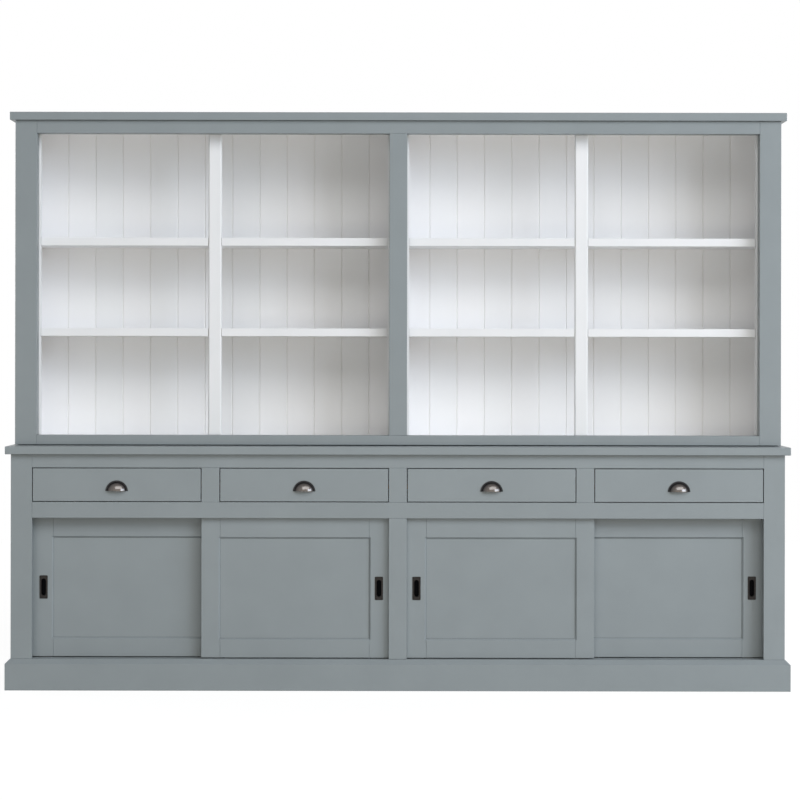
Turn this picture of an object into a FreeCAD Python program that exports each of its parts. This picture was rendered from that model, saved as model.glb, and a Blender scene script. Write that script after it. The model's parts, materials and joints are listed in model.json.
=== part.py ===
import FreeCAD, Part
import os
from math import sqrt

# Two-part display cabinet: an open bookcase with shelves on a buffet with drawers and sliding doors.
# Millimetres. X runs to the right, the front faces -Y, +Z is up, the floor is z = 0.

# Counter and base body
COUNTER_WIDTH = 2700.0
COUNTER_DEPTH = 480.0
COUNTER_THICKNESS = 27.0
COUNTER_FRONT_OVERHANG = 22.0
COUNTER_SIDE_OVERHANG = 18.0

# Heights of the base front, from the floor up
PLINTH_HEIGHT = 107.0
DOOR_OPENING_HEIGHT = 485.0
MID_RAIL_HEIGHT = 55.0
DRAWER_OPENING_HEIGHT = 118.0
TOP_RAIL_HEIGHT = 46.0

# Upper cabinet
PAD_THICKNESS = 3.0
UPPER_DEPTH = 350.0
UPPER_BOTTOM_RAIL_HEIGHT = 33.0
UPPER_OPENING_HEIGHT = 1050.0
HEADER_HEIGHT = 45.0
CORNICE_THICKNESS = 28.0
CORNICE_FRONT_OVERHANG = 14.0
CORNICE_SIDE_OVERHANG = 18.0

# Face frames and boards
FRAME_THICKNESS = 20.0
UPPER_FRAME_THICKNESS = 60.0
BASE_STILE_WIDTH = 73.0
UPPER_STILE_WIDTH = 75.0
CENTRE_STILE_WIDTH = 62.0
MUNTIN_WIDTH = 62.0
BASE_BOTTOM_RAIL_HEIGHT = 75.0
SIDE_THICKNESS = 22.0
PARTITION_THICKNESS = 27.0
PANEL_BOARD_THICKNESS = 18.0
LINING_THICKNESS = 18.0
BACK_THICKNESS = 12.0

# Plinth
PLINTH_THICKNESS = 18.0
PLINTH_BEVEL = 16.0
BEARER_THICKNESS = 22.0

# Shelves and the posts they are notched around
POST_SHOW = 7.0
POST_THICKNESS = 20.0
MULLION_WIDTH = 46.0
MULLION_INWARD = 3.0
MULLION_ROUND = 5.0
SHELF_THICKNESS = 28.0
SHELF_SETBACK = 1.5
LOWER_SHELF_TOP = 372.5
UPPER_SHELF_TOP = 689.0
SHELF_FIT = 0.8
PIN_DIAMETER = 5.0
PIN_DEPTH = 8.0
PIN_FIT = 0.1
PIN_HEAD_LENGTH = 9.0
PIN_HEAD_WIDTH = 10.0
PIN_HEAD_HEIGHT = 7.0
PIN_INSET = 50.0
BACK_BOARD_PITCH = 98.2
BACK_GROOVE_WIDTH = 5.0
BACK_GROOVE_DEPTH = 3.0
PAD_WIDTH = 20.0
PAD_LENGTH = 60.0
PAD_INSET = 25.0

# Sliding doors
DOOR_THICKNESS = 26.0
DOOR_MEETING_STILE = 65.0
DOOR_CLOSING_STILE = 83.0
DOOR_TOP_RAIL = 76.0
DOOR_BOTTOM_RAIL = 66.0
DOOR_SIDE_GAP = 2.0
DOOR_FRAME_GAP = 2.0
DOOR_PASS_GAP = 10.0
DOOR_FLOOR_GAP = 3.0
DOOR_TOP_LAP = 5.0
DOOR_HEAD_GAP = 3.0
DOOR_BEVEL = 5.0
DOOR_PANEL_SETBACK = 7.0
DOOR_PANEL_THICKNESS = 8.0
DOOR_PANEL_TONGUE = 9.0
DOOR_PANEL_END_GAP = 0.8
DOOR_PANEL_FIT = 0.1

# Door tracks, glides and pegs
TRACK_BACK_MARGIN = 2.0
TRACK_GROOVE_WIDTH = 7.0
GLIDE_SIDE_CLEARANCE = 0.5
GLIDE_SEAT_CLEARANCE = 0.3
GLIDE_LENGTH = 40.0
GLIDE_INSET = 60.0
GLIDE_EDGE_MARGIN = 2.0
GLIDE_REACH = 5.0
GLIDE_TIP_GAP = 2.0
PEG_REACH = 8.0
PEG_TIP_GAP = 3.0
PEG_PLATE_THICKNESS = 1.5

# Drawers
DRAWER_GAP = 2.5
DRAWER_FRONT_THICKNESS = 20.0
DRAWER_SIDE_THICKNESS = 15.0
DRAWER_SIDE_GAP = 5.0
DRAWER_BOX_RISE = 6.0
DRAWER_BOX_HEADROOM = 18.0
DRAWER_BACK_ROOM = 44.0
DRAWER_BOTTOM_THICKNESS = 8.0
DRAWER_BOTTOM_RISE = 8.0
DRAWER_BOTTOM_TONGUE = 5.0
DRAWER_BOTTOM_FIT = 0.1
RUNNER_HEIGHT = 16.0
RUNNER_REACH = 12.0
RUNNER_CLEARANCE = 0.3
RUNNER_END_GAP = 1.0
PACKER_HEIGHT = 44.0
STOP_WIDTH = 30.0
STOP_LENGTH = 18.0
STOP_HEIGHT = 22.0
STOP_CLEARANCE = 0.3

# Cup pulls on the drawers
CUP_WIDTH = 77.0
CUP_HEIGHT = 36.0
CUP_PROJECTION = 20.0
CUP_FLANGE_WIDTH = 5.0
CUP_FLANGE_THICKNESS = 2.0
CUP_WALL = 2.0
CUP_RIM_RADIUS = 11.0
CUP_CHORD_DROP = 21.0

# Flush pulls on the doors
FLUSH_WIDTH = 28.0
FLUSH_HEIGHT = 80.0
FLUSH_PROUD = 1.5
FLUSH_CORNER = 2.5
FLUSH_SLOT_WIDTH = 15.0
FLUSH_SLOT_HEIGHT = 57.0
FLUSH_SLOT_DEPTH = 10.0
FLUSH_WALL = 1.5
FLUSH_LIP = 1.0
FLUSH_FIT = 0.2
FLUSH_DROP = 4.0

# Eased edges
FRAME_EASE = 1.2
BOARD_EASE = 2.0
SHELF_EASE = 1.5
DRAWER_EASE = 1.2
EASE_LIMIT = 0.3

# Heights worked out from the sizes above
Z_DECK = PLINTH_HEIGHT
Z_MID_RAIL = Z_DECK + DOOR_OPENING_HEIGHT
Z_DRAWER = Z_MID_RAIL + MID_RAIL_HEIGHT
Z_TOP_RAIL = Z_DRAWER + DRAWER_OPENING_HEIGHT
Z_COUNTER = Z_TOP_RAIL + TOP_RAIL_HEIGHT
Z_COUNTER_TOP = Z_COUNTER + COUNTER_THICKNESS
Z_UPPER = Z_COUNTER_TOP + PAD_THICKNESS
Z_UPPER_FLOOR = Z_UPPER + PANEL_BOARD_THICKNESS
Z_OPENING = Z_UPPER + UPPER_BOTTOM_RAIL_HEIGHT
Z_HEADER = Z_OPENING + UPPER_OPENING_HEIGHT
Z_CORNICE = Z_HEADER + HEADER_HEIGHT
Z_UPPER_CEILING = Z_CORNICE - PANEL_BOARD_THICKNESS
Z_TOP = Z_CORNICE + CORNICE_THICKNESS
Z_BOTTOM_BOARD = Z_DECK - PANEL_BOARD_THICKNESS
Z_DRAWER_DECK = Z_DRAWER - PANEL_BOARD_THICKNESS
Z_DOOR_LOW = Z_DECK + DOOR_FLOOR_GAP
Z_DOOR_TOP = Z_MID_RAIL + DOOR_TOP_LAP
Z_UPPER_TRACK = Z_DOOR_TOP + DOOR_HEAD_GAP

# Depths
Y_BACK = COUNTER_DEPTH / 2
Y_COUNTER = -COUNTER_DEPTH / 2
Y_BASE = Y_COUNTER + COUNTER_FRONT_OVERHANG
Y_BASE_IN = Y_BASE + FRAME_THICKNESS
Y_UPPER = Y_BACK - UPPER_DEPTH
Y_UPPER_IN = Y_UPPER + UPPER_FRAME_THICKNESS
Y_LINING = Y_BACK - BACK_THICKNESS
Y_POST_BACK = Y_UPPER_IN + POST_THICKNESS
Y_FRONT_DOOR = Y_BASE_IN + DOOR_FRAME_GAP
Y_REAR_DOOR = Y_FRONT_DOOR + DOOR_THICKNESS + DOOR_PASS_GAP
Y_TRACK_BACK = Y_REAR_DOOR + DOOR_THICKNESS + TRACK_BACK_MARGIN
Y_DRAWER_BACK = Y_LINING - DRAWER_BACK_ROOM

# Half widths, measured from the middle of the cabinet
X_BODY = COUNTER_WIDTH / 2 - COUNTER_SIDE_OVERHANG
X_IN = X_BODY - SIDE_THICKNESS
X_PARTITION = PARTITION_THICKNESS / 2
X_CENTRE_STILE = CENTRE_STILE_WIDTH / 2
X_BASE_STILE = X_BODY - BASE_STILE_WIDTH
X_UPPER_STILE = X_BODY - UPPER_STILE_WIDTH
X_LINING = X_IN - LINING_THICKNESS
X_MULLION = (X_UPPER_STILE + X_CENTRE_STILE) / 2 - MULLION_INWARD
X_MUNTIN = (X_BASE_STILE + X_CENTRE_STILE) / 2
SIDES = (-1, 1)
MUNTIN_CENTRES = (-X_MUNTIN, 0.0, X_MUNTIN)


def span(side, near, far):
    """Low and high X of a piece between two half widths, on the left (-1) or the right (1)."""
    return tuple(sorted((side * near, side * far)))


def around(centre, width):
    """Low and high value of a width set evenly about a centre."""
    return (centre - width / 2, centre + width / 2)


def block(x, y, z):
    """Square-edged box between pairs of low and high values."""
    corner = FreeCAD.Vector(x[0], y[0], z[0])
    return Part.makeBox(x[1] - x[0], y[1] - y[0], z[1] - z[0], corner)


def board(x, y, z, ease):
    """Planed board with all its edges eased, never by more than its thickness allows."""
    thinnest = min(x[1] - x[0], y[1] - y[0], z[1] - z[0])
    solid = block(x, y, z)
    return solid.makeFillet(min(ease, EASE_LIMIT * thinnest), solid.Edges)


def rod(x, y, z, radius, length, direction):
    """Round bar from a point along a direction."""
    return Part.makeCylinder(radius, length, FreeCAD.Vector(x, y, z), FreeCAD.Vector(*direction))


def prism(points, sweep):
    """Straight solid swept from a closed outline."""
    outline = [FreeCAD.Vector(*point) for point in points]
    face = Part.Face(Part.makePolygon(outline + outline[:1]))
    return face.extrude(FreeCAD.Vector(*sweep))


def save(node, solids):
    """Write the separate solids of one named piece, or group of like pieces."""
    shape = solids[0] if len(solids) == 1 else Part.makeCompound(solids)
    shape.exportStep(f"parts/{node}.step")


# Base carcass

def base_sides():
    depth = (Y_BASE_IN, Y_BACK)
    return [board(span(side, X_IN, X_BODY), depth, (0, Z_COUNTER), FRAME_EASE) for side in SIDES]


def base_bottom_board():
    return [block((-X_IN, X_IN), (Y_TRACK_BACK, Y_LINING), (Z_BOTTOM_BOARD, Z_DECK))]


def base_bearers():
    """Upright boards that carry the bottom board and the tracks from the floor."""
    depth = (Y_BASE_IN, Y_LINING)
    return [block(around(x, BEARER_THICKNESS), depth, (0, Z_BOTTOM_BOARD)) for x in MUNTIN_CENTRES]


def base_back_panel():
    return [block((-X_IN, X_IN), (Y_LINING, Y_BACK), (Z_BOTTOM_BOARD, Z_COUNTER))]


def base_centre_partition():
    depth = (Y_BASE_IN, Y_LINING)
    partition = block((-X_PARTITION, X_PARTITION), depth, (Z_DECK, Z_DRAWER_DECK))
    notch = block((-X_PARTITION, X_PARTITION), (Y_BASE_IN, Y_TRACK_BACK), (Z_UPPER_TRACK, Z_DRAWER_DECK))
    return [partition.cut(notch)]


def drawer_deck():
    return [block((-X_IN, X_IN), (Y_BASE_IN, Y_LINING), (Z_DRAWER_DECK, Z_DRAWER))]


def drawer_partitions():
    depth = (Y_BASE_IN, Y_LINING)
    return [block(around(x, PARTITION_THICKNESS), depth, (Z_DRAWER, Z_COUNTER)) for x in MUNTIN_CENTRES]


def counter_top():
    half = COUNTER_WIDTH / 2
    return [board((-half, half), (Y_COUNTER, Y_BACK), (Z_COUNTER, Z_COUNTER_TOP), BOARD_EASE)]


# Base face frame and plinth

def base_stiles():
    depth = (Y_BASE, Y_BASE_IN)
    return [board(span(side, X_BASE_STILE, X_BODY), depth, (0, Z_COUNTER), FRAME_EASE) for side in SIDES]


def base_rails():
    levels = (
        (Z_DECK - BASE_BOTTOM_RAIL_HEIGHT, Z_DECK),
        (Z_MID_RAIL, Z_DRAWER),
        (Z_TOP_RAIL, Z_COUNTER),
    )
    width = (-X_BASE_STILE, X_BASE_STILE)
    return [board(width, (Y_BASE, Y_BASE_IN), z, FRAME_EASE) for z in levels]


def base_centre_stile():
    width = (-X_CENTRE_STILE, X_CENTRE_STILE)
    return [board(width, (Y_BASE, Y_BASE_IN), (Z_DECK, Z_MID_RAIL), FRAME_EASE)]


def drawer_muntins():
    depth = (Y_BASE, Y_BASE_IN)
    height = (Z_DRAWER, Z_TOP_RAIL)
    return [board(around(x, MUNTIN_WIDTH), depth, height, FRAME_EASE) for x in MUNTIN_CENTRES]


def plinth():
    """Front board and two returns, bevelled along the top and mitred at the corners."""
    outer = X_BODY + PLINTH_THICKNESS
    front = Y_BASE - PLINTH_THICKNESS
    shoulder = PLINTH_HEIGHT - PLINTH_BEVEL
    profile = ((0, 0), (PLINTH_THICKNESS, 0), (PLINTH_THICKNESS, shoulder),
               (PLINTH_THICKNESS - PLINTH_BEVEL, PLINTH_HEIGHT), (0, PLINTH_HEIGHT))
    front_bar = prism([(-outer, Y_BASE - out, z) for out, z in profile], (2 * outer, 0, 0))
    front_plan = ((-outer, front, 0), (outer, front, 0), (X_BODY, Y_BASE, 0), (-X_BODY, Y_BASE, 0))
    pieces = [front_bar.common(prism(front_plan, (0, 0, PLINTH_HEIGHT)))]
    for side in SIDES:
        bar = prism([(side * (X_BODY + out), front, z) for out, z in profile], (0, Y_BACK - front, 0))
        plan = ((side * outer, front, 0), (side * X_BODY, Y_BASE, 0),
                (side * X_BODY, Y_BACK, 0), (side * outer, Y_BACK, 0))
        pieces.append(bar.common(prism(plan, (0, 0, PLINTH_HEIGHT))))
    return pieces


# Upper cabinet

def upper_sides():
    depth = (Y_UPPER_IN, Y_BACK)
    return [board(span(side, X_IN, X_BODY), depth, (Z_UPPER, Z_CORNICE), FRAME_EASE) for side in SIDES]


def upper_side_linings():
    """Boards inside the outer walls of the bays that take the shelf supports."""
    linings = []
    depth = (Y_UPPER_IN, Y_LINING)
    for side in SIDES:
        lining = block(span(side, X_LINING, X_IN), depth, (Z_UPPER_FLOOR, Z_UPPER_CEILING))
        linings.append(bored_for_pins(lining))
    return linings


def upper_bottom_panel():
    return [block((-X_IN, X_IN), (Y_UPPER_IN, Y_LINING), (Z_UPPER, Z_UPPER_FLOOR))]


def upper_top_panel():
    return [block((-X_IN, X_IN), (Y_UPPER_IN, Y_LINING), (Z_UPPER_CEILING, Z_CORNICE))]


def upper_centre_partition():
    width = (-X_PARTITION, X_PARTITION)
    depth = (Y_UPPER_IN, Y_LINING)
    return [bored_for_pins(block(width, depth, (Z_UPPER_FLOOR, Z_UPPER_CEILING)))]


def upper_back_panels():
    """Two panels of upright boards, laid from the middle outwards, with a V groove at each joint."""
    panels = []
    boards = int((X_IN - X_PARTITION) / BACK_BOARD_PITCH)
    for side in SIDES:
        panel = block(span(side, 0, X_IN), (Y_LINING, Y_BACK), (Z_UPPER, Z_CORNICE))
        for count in range(1, boards):
            x = side * (X_PARTITION + count * BACK_BOARD_PITCH)
            left, right = around(x, BACK_GROOVE_WIDTH)
            groove = ((left, Y_LINING, Z_UPPER), (right, Y_LINING, Z_UPPER),
                      (x, Y_LINING + BACK_GROOVE_DEPTH, Z_UPPER))
            panel = panel.cut(prism(groove, (0, 0, Z_CORNICE - Z_UPPER)))
        panels.append(panel)
    return panels


def upper_stiles():
    depth = (Y_UPPER, Y_UPPER_IN)
    height = (Z_UPPER, Z_CORNICE)
    return [board(span(side, X_UPPER_STILE, X_BODY), depth, height, FRAME_EASE) for side in SIDES]


def upper_centre_stile():
    width = (-X_CENTRE_STILE, X_CENTRE_STILE)
    return [board(width, (Y_UPPER, Y_UPPER_IN), (Z_OPENING, Z_HEADER), FRAME_EASE)]


def upper_rails():
    width = (-X_UPPER_STILE, X_UPPER_STILE)
    levels = ((Z_UPPER, Z_OPENING), (Z_HEADER, Z_CORNICE))
    return [board(width, (Y_UPPER, Y_UPPER_IN), z, FRAME_EASE) for z in levels]


def cornice_board():
    half = X_BODY + CORNICE_SIDE_OVERHANG
    depth = (Y_UPPER - CORNICE_FRONT_OVERHANG, Y_BACK)
    return [board((-half, half), depth, (Z_CORNICE, Z_TOP), BOARD_EASE)]


def batten_spans(side):
    """Low and high X of the battens that show past the outer stile and the centre stile of one bay."""
    outer = span(side, X_UPPER_STILE - POST_SHOW, X_LINING)
    return [outer, span(side, X_PARTITION, X_CENTRE_STILE + POST_SHOW)]


def mullion_span(side):
    return around(side * X_MULLION, MULLION_WIDTH)


def mullion(side, depth, height):
    """Post in the middle of a bay with its two front edges rounded over."""
    post = block(mullion_span(side), depth, height)
    upright = [edge for edge in post.Edges if edge.tangentAt(edge.FirstParameter).z]
    front = [edge for edge in upright if edge.CenterOfMass.y < post.CenterOfMass.y]
    return bored_for_pins(post.makeFillet(MULLION_ROUND, front))


def bay_posts():
    depth = (Y_UPPER_IN, Y_POST_BACK)
    height = (Z_UPPER_FLOOR, Z_UPPER_CEILING)
    posts = []
    for side in SIDES:
        posts += [block(x, depth, height) for x in batten_spans(side)]
        posts.append(mullion(side, depth, height))
    return posts


def shelves(top):
    """One shelf to each bay, notched at the front around the posts."""
    height = (Z_OPENING + top - SHELF_THICKNESS, Z_OPENING + top)
    depth = (Y_UPPER_IN + SHELF_SETBACK, Y_LINING - SHELF_FIT)
    row = []
    for side in SIDES:
        width = span(side, X_PARTITION + SHELF_FIT, X_LINING - SHELF_FIT)
        shelf = board(width, depth, height, SHELF_EASE)
        for low, high in batten_spans(side) + [mullion_span(side)]:
            notch = (low - SHELF_FIT, high + SHELF_FIT)
            shelf = shelf.cut(block(notch, (Y_UPPER_IN, Y_POST_BACK + SHELF_FIT), height))
        row.append(shelf)
    return row


def pin_seats():
    """Placement of every shelf support: at the underside of its shelf, turned to point into its upright."""
    seats = []
    for side in SIDES:
        places = [(side * X_MULLION, Y_POST_BACK, -90)]
        for y in (Y_POST_BACK + PIN_INSET, Y_LINING - PIN_INSET):
            places.append((side * X_LINING, y, 0 if side > 0 else 180))
            places.append((side * X_PARTITION, y, 180 if side > 0 else 0))
        for top in (LOWER_SHELF_TOP, UPPER_SHELF_TOP):
            for x, y, turn in places:
                point = FreeCAD.Vector(x, y, Z_OPENING + top - SHELF_THICKNESS)
                seats.append(FreeCAD.Placement(point, FreeCAD.Rotation(FreeCAD.Vector(0, 0, 1), turn)))
    return seats


def placed(shape, seat):
    copy = shape.copy()
    copy.Placement = seat
    return copy


def pin_bar(clearance):
    """Round bar of a shelf support, or the hole for it, along +X from the face of the upright."""
    radius = PIN_DIAMETER / 2 + clearance
    return rod(0, 0, -PIN_HEAD_HEIGHT / 2, radius, PIN_DEPTH + clearance, (1, 0, 0))


def bored_for_pins(upright):
    """Upright with the blind holes of every shelf support that enters it."""
    for seat in pin_seats():
        upright = upright.cut(placed(pin_bar(PIN_FIT), seat))
    return upright


def shelf_pins():
    """Round pins with a square head that the shelf lies on."""
    head = block((-PIN_HEAD_LENGTH, 0), around(0, PIN_HEAD_WIDTH), (-PIN_HEAD_HEIGHT, 0))
    pin = head.fuse(pin_bar(0))
    return [placed(pin, seat) for seat in pin_seats()]


def spacer_pads():
    """Pads between the counter and the upper cabinet, under each upright."""
    pads = []
    height = (Z_COUNTER_TOP, Z_UPPER)
    for x in (-X_IN - SIDE_THICKNESS / 2, -X_MULLION, 0.0, X_MULLION, X_IN + SIDE_THICKNESS / 2):
        for y in ((Y_UPPER_IN + PAD_INSET, Y_UPPER_IN + PAD_INSET + PAD_LENGTH),
                  (Y_LINING - PAD_INSET - PAD_LENGTH, Y_LINING - PAD_INSET)):
            pads.append(block(around(x, PAD_WIDTH), y, height))
    return pads


# Sliding doors: two pairs, the outer door of each pair behind the inner one

X_INNER_STOP = X_PARTITION + DOOR_SIDE_GAP
DOOR_LAP = X_CENTRE_STILE - X_INNER_STOP
X_OUTER_STOP = X_BASE_STILE + DOOR_LAP
DOOR_WIDTH = (X_OUTER_STOP - X_INNER_STOP + DOOR_MEETING_STILE) / 2
FLUSH_Z = (Z_DOOR_LOW + Z_DOOR_TOP) / 2 - FLUSH_DROP
DOOR_GROOVE = DOOR_PANEL_TONGUE + DOOR_PANEL_END_GAP


def obround(x, y, z, width, height):
    """Upright slot shape with round ends, swept back along +Y from y[0] to y[1]."""
    radius = width / 2
    reach = height / 2 - radius
    depth = y[1] - y[0]
    shape = block((x - radius, x + radius), y, (z - reach, z + reach))
    for end in (z - reach, z + reach):
        shape = shape.fuse(rod(x, y[0], end, radius, depth, (0, 1, 0)))
    return shape.removeSplitter()


def door_groove_depth(y_front):
    """Low and high Y of the groove that holds the panel."""
    return (y_front + DOOR_PANEL_SETBACK, y_front + DOOR_PANEL_SETBACK + DOOR_PANEL_THICKNESS)


def door_bevel(inner, opening, y_front):
    """Flaring block that bevels the front edges of the frame around the panel."""
    return Part.makeWedge(inner[0] - DOOR_BEVEL, y_front, opening[0] - DOOR_BEVEL, opening[0], inner[0],
                          inner[1] + DOOR_BEVEL, y_front + DOOR_BEVEL, opening[1] + DOOR_BEVEL, opening[1],
                          inner[1])


def door_frame(x, inner, y_front, x_pull):
    """Two stiles and two rails, bevelled and grooved all round the opening for the panel."""
    depth = (y_front, y_front + DOOR_THICKNESS)
    groove_y = door_groove_depth(y_front)
    opening = (Z_DOOR_LOW + DOOR_BOTTOM_RAIL, Z_DOOR_TOP - DOOR_TOP_RAIL)
    bevel = door_bevel(inner, opening, y_front)
    groove_x = (inner[0] - DOOR_GROOVE, inner[1] + DOOR_GROOVE)
    groove = block(groove_x, groove_y, (opening[0] - DOOR_GROOVE, opening[1] + DOOR_GROOVE))
    mortise_y = (y_front, y_front + FLUSH_SLOT_DEPTH + FLUSH_WALL + FLUSH_FIT)
    outside = 2 * (FLUSH_WALL + FLUSH_FIT)
    mortise = obround(x_pull, mortise_y, FLUSH_Z, FLUSH_SLOT_WIDTH + outside, FLUSH_SLOT_HEIGHT + outside)
    pieces = []
    for stile_x in ((x[0], inner[0]), (inner[1], x[1])):
        stile = board(stile_x, depth, (Z_DOOR_LOW, Z_DOOR_TOP), FRAME_EASE)
        pieces.append(stile.cut(groove).cut(bevel).cut(mortise))
    for rail_z in ((Z_DOOR_LOW, opening[0]), (opening[1], Z_DOOR_TOP)):
        pieces.append(board(inner, depth, rail_z, FRAME_EASE).cut(groove).cut(bevel))
    return pieces


def door_panel(inner, y_front):
    """Flat panel set back from the face of its frame, held in the grooves."""
    groove_y = door_groove_depth(y_front)
    width = (inner[0] - DOOR_PANEL_TONGUE, inner[1] + DOOR_PANEL_TONGUE)
    depth = (groove_y[0] + DOOR_PANEL_FIT, groove_y[1] - DOOR_PANEL_FIT)
    low = Z_DOOR_LOW + DOOR_BOTTOM_RAIL - DOOR_PANEL_TONGUE
    high = Z_DOOR_TOP - DOOR_TOP_RAIL + DOOR_PANEL_TONGUE
    return [block(width, depth, (low, high))]


def flush_pull(x_pull, y_front):
    """Face plate with an obround finger cup let into the door stile."""
    plate_y = (y_front - FLUSH_PROUD, y_front)
    plate = block(around(x_pull, FLUSH_WIDTH), plate_y, around(FLUSH_Z, FLUSH_HEIGHT))
    corners = [edge for edge in plate.Edges if edge.tangentAt(edge.FirstParameter).y]
    plate = plate.makeFillet(FLUSH_CORNER, corners)
    cup_y = (y_front, y_front + FLUSH_SLOT_DEPTH + FLUSH_WALL)
    outside = 2 * FLUSH_WALL
    cup = obround(x_pull, cup_y, FLUSH_Z, FLUSH_SLOT_WIDTH + outside, FLUSH_SLOT_HEIGHT + outside)
    slot_y = (y_front - FLUSH_PROUD, y_front + FLUSH_SLOT_DEPTH)
    slot = obround(x_pull, slot_y, FLUSH_Z, FLUSH_SLOT_WIDTH, FLUSH_SLOT_HEIGHT)
    pull = plate.fuse(cup).cut(slot)
    face = min(pull.Faces, key=lambda side: side.CenterOfMass.y)
    rim = [wire for wire in face.Wires if not wire.isSame(face.OuterWire)]
    return [pull.makeChamfer(FLUSH_LIP, rim[0].Edges)]


def door_guides(x, y_front):
    """Glides that run in the lower track and pegs that run in the upper one."""
    middle = y_front + DOOR_THICKNESS / 2
    tongue = TRACK_GROOVE_WIDTH - 2 * GLIDE_SIDE_CLEARANCE
    pieces = []
    for place in (x[0] + GLIDE_INSET, x[1] - GLIDE_INSET):
        length = around(place, GLIDE_LENGTH)
        seat = around(middle, DOOR_THICKNESS - 2 * GLIDE_EDGE_MARGIN)
        flange = block(length, seat, (Z_DECK + GLIDE_SEAT_CLEARANCE, Z_DOOR_LOW))
        rib = block(length, around(middle, tongue), (Z_DECK - GLIDE_REACH, Z_DECK + GLIDE_SEAT_CLEARANCE))
        pieces.append(flange.fuse(rib))
        plate = block(length, seat, (Z_DOOR_TOP, Z_DOOR_TOP + PEG_PLATE_THICKNESS))
        peg_length = DOOR_HEAD_GAP + PEG_REACH
        pieces.append(plate.fuse(rod(place, middle, Z_DOOR_TOP, tongue / 2, peg_length, (0, 0, 1))))
    return pieces


def door_tracks():
    """Grooved strips under and over the doors of each bay."""
    depth = (Y_BASE_IN, Y_TRACK_BACK)
    grooves = [around(y + DOOR_THICKNESS / 2, TRACK_GROOVE_WIDTH) for y in (Y_FRONT_DOOR, Y_REAR_DOOR)]
    strips = []
    for side in SIDES:
        x = span(side, 0, X_IN)
        lower = block(x, depth, (Z_BOTTOM_BOARD, Z_DECK))
        upper = block(x, depth, (Z_UPPER_TRACK, Z_DRAWER_DECK))
        for y in grooves:
            lower = lower.cut(block(x, y, (Z_DECK - GLIDE_REACH - GLIDE_TIP_GAP, Z_DECK)))
            upper = upper.cut(block(x, y, (Z_UPPER_TRACK, Z_UPPER_TRACK + PEG_REACH + PEG_TIP_GAP)))
        strips += [lower, upper]
    return strips


def door_jambs():
    """Posts behind the outer stiles that the outer doors close against."""
    depth = (Y_BASE_IN, Y_TRACK_BACK)
    height = (Z_DECK, Z_UPPER_TRACK)
    return [block(span(side, X_OUTER_STOP + DOOR_SIDE_GAP, X_IN), depth, height) for side in SIDES]


def make_door(number, closing, inward, y_front):
    """One door from its closing edge inwards (1 to the right, -1 to the left)."""
    meeting = closing + inward * DOOR_WIDTH
    x = sorted((closing, meeting))
    inner = sorted((closing + inward * DOOR_CLOSING_STILE, meeting - inward * DOOR_MEETING_STILE))
    x_pull = closing + inward * (DOOR_LAP + DOOR_CLOSING_STILE) / 2
    save(f"door_{number}_frame", door_frame(x, inner, y_front, x_pull))
    save(f"door_{number}_panel", door_panel(inner, y_front))
    save(f"door_{number}_flush_pull", flush_pull(x_pull, y_front))
    save(f"door_{number}_guides", door_guides(x, y_front))


# Drawers: inset fronts, boxes hung on side runners

DRAWER_BOX_Z = (Z_DRAWER + DRAWER_BOX_RISE, Z_TOP_RAIL - DRAWER_BOX_HEADROOM)
RUNNER_Z = (DRAWER_BOX_Z[0] + DRAWER_BOX_Z[1]) / 2
DRAWER_BOTTOM_Z = (DRAWER_BOX_Z[0] + DRAWER_BOTTOM_RISE,
                   DRAWER_BOX_Z[0] + DRAWER_BOTTOM_RISE + DRAWER_BOTTOM_THICKNESS)
Y_DRAWER_IN = Y_BASE + DRAWER_FRONT_THICKNESS


def drawer_openings():
    """Low and high X of the four drawer openings, from left to right."""
    edges = [-X_BASE_STILE]
    for x in MUNTIN_CENTRES:
        edges += around(x, MUNTIN_WIDTH)
    edges.append(X_BASE_STILE)
    return [(edges[i], edges[i + 1]) for i in range(0, len(edges), 2)]


def drawer_front(opening):
    width = (opening[0] + DRAWER_GAP, opening[1] - DRAWER_GAP)
    height = (Z_DRAWER + DRAWER_GAP, Z_TOP_RAIL - DRAWER_GAP)
    return [board(width, (Y_BASE, Y_DRAWER_IN), height, DRAWER_EASE)]


def drawer_box(opening):
    """Two grooved sides, a back on top of the bottom, and the bottom in the sides' inner grooves."""
    depth = (Y_DRAWER_IN, Y_DRAWER_BACK)
    outer = (opening[0] + DRAWER_SIDE_GAP, opening[1] - DRAWER_SIDE_GAP)
    inner = (outer[0] + DRAWER_SIDE_THICKNESS, outer[1] - DRAWER_SIDE_THICKNESS)
    groove = RUNNER_REACH - DRAWER_SIDE_GAP + RUNNER_END_GAP
    groove_z = around(RUNNER_Z, RUNNER_HEIGHT + 2 * RUNNER_CLEARANCE)
    bottom_x = (inner[0] - DRAWER_BOTTOM_TONGUE, inner[1] + DRAWER_BOTTOM_TONGUE)
    slot_x = (bottom_x[0] - DRAWER_BOTTOM_FIT, bottom_x[1] + DRAWER_BOTTOM_FIT)
    slot = block(slot_x, depth, DRAWER_BOTTOM_Z)
    pieces = []
    for side_x, groove_x in (((outer[0], inner[0]), (outer[0], outer[0] + groove)),
                             ((inner[1], outer[1]), (outer[1] - groove, outer[1]))):
        side = block(side_x, depth, DRAWER_BOX_Z)
        pieces.append(side.cut(block(groove_x, depth, groove_z)).cut(slot))
    back_y = (Y_DRAWER_BACK - DRAWER_SIDE_THICKNESS, Y_DRAWER_BACK)
    pieces.append(block(inner, back_y, (DRAWER_BOTTOM_Z[1], DRAWER_BOX_Z[1])))
    pieces.append(block(bottom_x, depth, DRAWER_BOTTOM_Z))
    return pieces


def half_turned(profile, centre):
    """Dome turned about the line through a centre along Y, from a closed half outline of edges."""
    face = Part.Face(Part.Wire(profile))
    face.translate(centre)
    return face.revolve(centre, FreeCAD.Vector(0, 1, 0), 360)


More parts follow.
